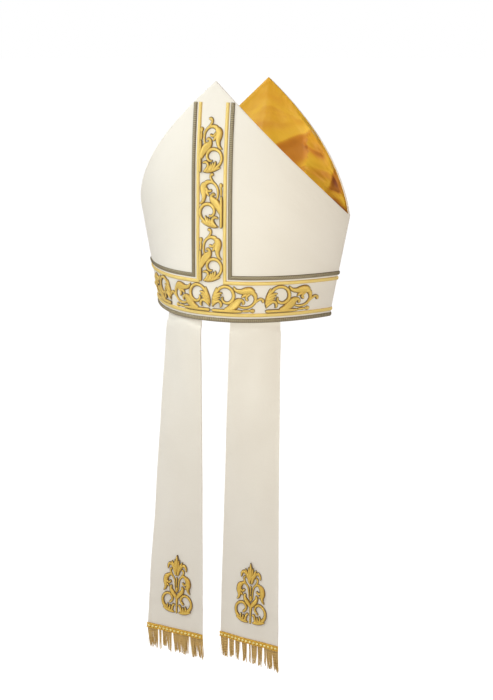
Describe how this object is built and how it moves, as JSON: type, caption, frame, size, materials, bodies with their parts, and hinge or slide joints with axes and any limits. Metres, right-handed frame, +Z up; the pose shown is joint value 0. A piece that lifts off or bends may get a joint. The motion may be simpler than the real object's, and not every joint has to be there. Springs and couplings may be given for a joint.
{
  "type": "bishop mitre",
  "caption": "Bishop's mitre of white satin: two pointed horns joined at the sides over a gold gusset, braided bands, raised gold scrollwork and fringed lappets at the back.",
  "frame": {"origin": "centre of the rim's lower plane, where the mitre sits on a head", "axes": "+Z up to the peaks, +X to the wearer's right when +Y is the way the wearer faces; the lappets hang on the -Y side"},
  "size_m": [0.2758, 0.1813, 0.7017],
  "materials": {
    "white_satin": "ivory white satin weave, soft sheen",
    "gold_satin": "golden yellow satin lining, strong soft sheen",
    "dark_braid": "ribbed braid of dark antique gold thread",
    "gold_thread": "gold thread, satin stitched in relief with a dark outline",
    "fringe_gold": "twisted gold thread fringe"
  },
  "bodies": {
    "root": {"back_panel": "white_satin", "front_panel": "white_satin", "crown_gusset": "gold_satin", "rim_braid": "dark_braid", "rim_cord": "gold_thread", "back_cord_right": "gold_thread", "back_cord_left": "gold_thread", "back_braid_right": "dark_braid", "back_braid_left": "dark_braid", "front_cord_right": "gold_thread", "front_cord_left": "gold_thread", "front_braid_right": "dark_braid", "front_braid_left": "dark_braid", "back_scroll_lower": "gold_thread", "back_scroll_middle": "gold_thread", "back_scroll_upper": "gold_thread", "back_band_scroll_inner_right": "gold_thread", "back_band_scroll_inner_left": "gold_thread", "back_band_scroll_outer_right": "gold_thread", "back_band_scroll_outer_left": "gold_thread", "front_scroll_lower": "gold_thread", "front_scroll_middle": "gold_thread", "front_scroll_upper": "gold_thread", "front_band_scroll_inner_right": "gold_thread", "front_band_scroll_inner_left": "gold_thread", "front_band_scroll_outer_right": "gold_thread", "front_band_scroll_outer_left": "gold_thread", "lappet_left": "white_satin", "lappet_sprig_left": "gold_thread", "fringe_heading_left": "gold_thread", "fringe_left": "fringe_gold", "lappet_right": "white_satin", "lappet_sprig_right": "gold_thread", "fringe_heading_right": "gold_thread", "fringe_right": "fringe_gold"}
  },
  "joints": []
}
